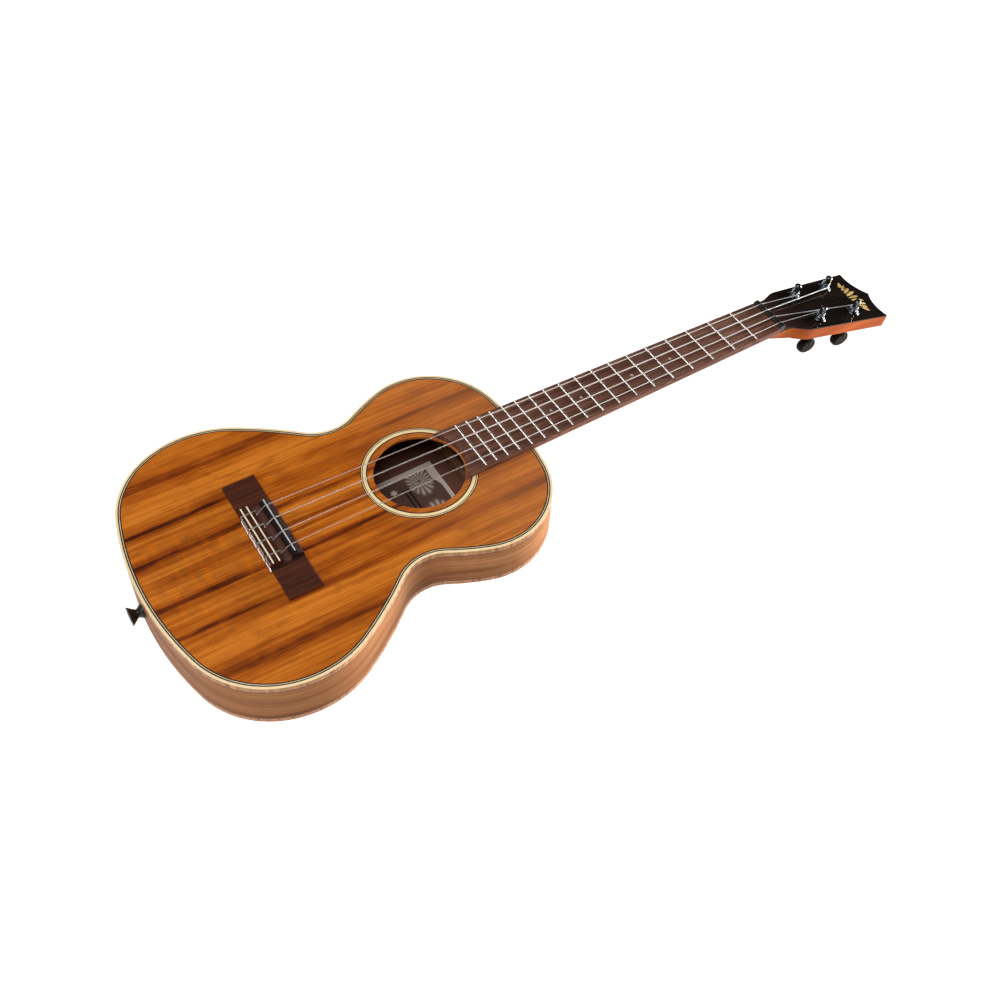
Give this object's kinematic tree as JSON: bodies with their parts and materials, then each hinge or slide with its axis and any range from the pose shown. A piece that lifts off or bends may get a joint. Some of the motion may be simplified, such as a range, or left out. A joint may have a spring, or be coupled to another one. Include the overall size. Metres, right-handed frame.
{
  "type": "tenor ukulele",
  "caption": "Slim-bodied tenor ukulele with a bound, book-matched soundboard, round soundhole, tie bridge, fretted neck and friction pegs that each turn.",
  "frame": {"origin": "on the outer face of the back, on the centreline, directly under the saddle line", "axes": "+X from the tail to the headstock, +Y to the bass side of the fretboard, +Z out of the soundboard; the soundboard lies in a plane of constant Z and X of a fret is its distance from the saddle"},
  "size_m": [0.6642, 0.2311, 0.0602],
  "materials": {
    "soundboard_wood": "satin lacquer, streaked acacia",
    "body_wood": "satin lacquer",
    "maple_binding": "satin lacquer",
    "dark_line": "satin",
    "light_line": "satin",
    "spruce": "bare",
    "rosewood": "oiled",
    "mahogany": "satin lacquer",
    "head_face": "gloss black",
    "gold_inlay": "antique gold",
    "cream_plastic": "polished",
    "saddle_plastic": "satin",
    "black_plastic": "polished",
    "fret_metal": "polished",
    "black_chrome": "black chrome",
    "black_steel": "satin black",
    "nylon": "clear",
    "paper": "matt"
  },
  "bodies": {
    "instrument": {"back_binding": "maple_binding", "back_braces": "spruce", "back_lining": "spruce", "back_plate": "body_wood", "bridge": "rosewood", "bridge_plate": "spruce", "fret_markers": "cream_plastic", "fretboard": "rosewood", "frets": "fret_metal", "headstock_inlay": "gold_inlay", "headstock_veneer": "head_face", "label": "paper", "neck": "mahogany", "neck_block": "mahogany", "nut": "black_plastic", "purfling_dark": "dark_line", "purfling_light": "light_line", "rosette_dark": "dark_line", "rosette_light": "light_line", "saddle": "saddle_plastic", "side_bass": "body_wood", "side_lines": "dark_line", "side_treble": "body_wood", "soundboard": "soundboard_wood", "soundboard_braces": "spruce", "strap_button": "black_steel", "strap_button_screw": "black_steel", "string_a": "nylon", "string_c": "nylon", "string_e": "nylon", "string_g": "nylon", "tail_block": "mahogany", "tie_block_trim": "cream_plastic", "top_binding": "maple_binding", "top_lining": "spruce", "tuner_bushings": "black_chrome", "tuner_collars": "black_chrome", "tuner_washers": "black_chrome"},
    "peg_g": {"post_g": "black_chrome", "button_g": "black_plastic", "button_screw_g": "black_steel", "winding_g": "nylon"},
    "peg_c": {"post_c": "black_chrome", "button_c": "black_plastic", "button_screw_c": "black_steel", "winding_c": "nylon"},
    "peg_e": {"post_e": "black_chrome", "button_e": "black_plastic", "button_screw_e": "black_steel", "winding_e": "nylon"},
    "peg_a": {"post_a": "black_chrome", "button_a": "black_plastic", "button_screw_a": "black_steel", "winding_a": "nylon"}
  },
  "joints": [
    {"name": "peg_g_spin", "type": "hinge", "parent": "instrument", "child": "peg_g", "pos_m": [0.47696, 0.0162, 0.03383], "axis": [0.23, 0, 0.9732], "continuous": true},
    {"name": "peg_c_spin", "type": "hinge", "parent": "instrument", "child": "peg_c", "pos_m": [0.5153, 0.018, 0.02477], "axis": [0.23, 0, 0.9732], "continuous": true},
    {"name": "peg_e_spin", "type": "hinge", "parent": "instrument", "child": "peg_e", "pos_m": [0.51667, -0.0163, 0.02445], "axis": [0.23, 0, 0.9732], "continuous": true},
    {"name": "peg_a_spin", "type": "hinge", "parent": "instrument", "child": "peg_a", "pos_m": [0.47774, -0.015, 0.03365], "axis": [0.23, 0, 0.9732], "continuous": true}
  ]
}
